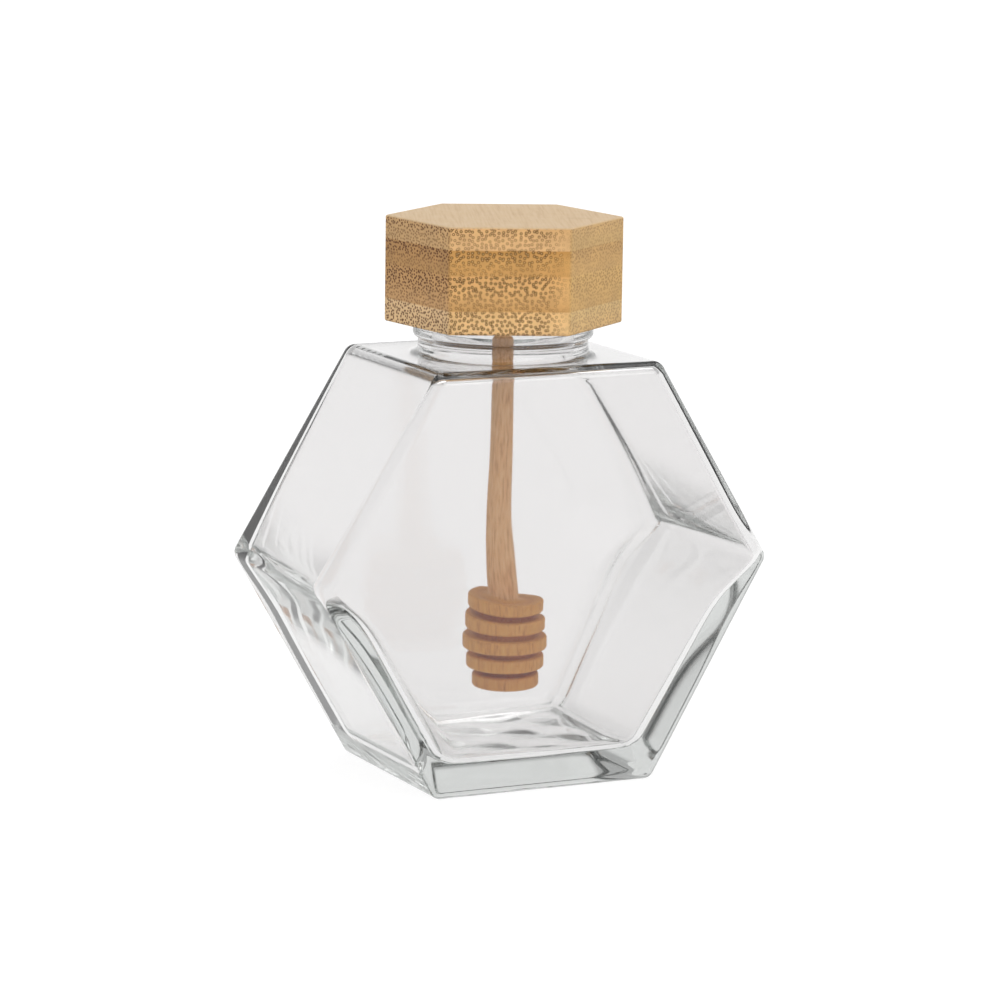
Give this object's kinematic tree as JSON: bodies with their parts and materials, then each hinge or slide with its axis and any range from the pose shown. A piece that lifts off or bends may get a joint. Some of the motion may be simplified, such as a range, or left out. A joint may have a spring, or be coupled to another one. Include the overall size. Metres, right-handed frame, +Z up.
{
  "type": "honey pot",
  "caption": "Clear glass honey jar with a hexagonal body and a short round neck, a hexagonal bamboo lid, and a wooden honey dipper that hangs inside from the lid.",
  "frame": {"origin": "middle of the underside of the jar, on the surface it stands on", "axes": "+Z up along the neck; the broad front face looks along -Y; +X to the right seen from the front, along the line between the two side points of the hexagon"},
  "size_m": [0.115, 0.055, 0.1317],
  "materials": {
    "clear_glass": "clear pressed soda glass, faintly green where it is thick",
    "bamboo": "laminated bamboo in level plies, sanded and oiled, end grain on the front",
    "beech": "turned beech, unvarnished"
  },
  "bodies": {
    "root": {"glass_jar": "clear_glass", "bamboo_lid": "bamboo", "honey_dipper": "beech"}
  },
  "joints": []
}
